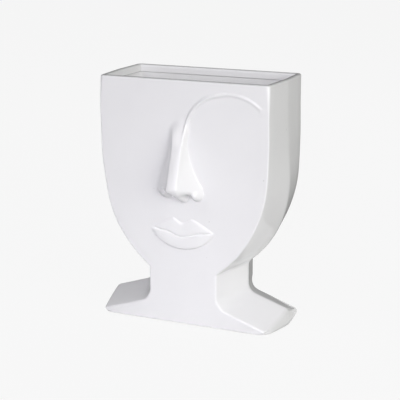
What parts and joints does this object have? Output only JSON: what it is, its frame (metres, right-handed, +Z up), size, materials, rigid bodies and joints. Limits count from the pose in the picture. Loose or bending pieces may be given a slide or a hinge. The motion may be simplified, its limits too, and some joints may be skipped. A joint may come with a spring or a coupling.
{
  "type": "face vase",
  "caption": "White glazed ceramic vase shaped as a flat-fronted head on a neck and shoulders, with a nose, brow and lips in relief and an open top for flowers.",
  "frame": {"origin": "on the table under the middle of the foot, half way between the flat front and the flat back", "axes": "+X to the right seen from the front, +Y from the face to the back, +Z up"},
  "size_m": [0.2128, 0.1223, 0.28],
  "materials": {
    "white_glaze": "gloss",
    "grey_felt": "matte"
  },
  "bodies": {
    "root": {"face_panel": "white_glaze", "back_panel": "white_glaze", "left_side_wall": "white_glaze", "right_side_wall": "white_glaze", "floor_plate": "white_glaze", "nose": "white_glaze", "brow": "white_glaze", "upper_lip": "white_glaze", "lower_lip": "white_glaze", "foot_pad_front_left": "grey_felt", "foot_pad_front_right": "grey_felt", "foot_pad_back_left": "grey_felt", "foot_pad_back_right": "grey_felt"}
  },
  "joints": []
}
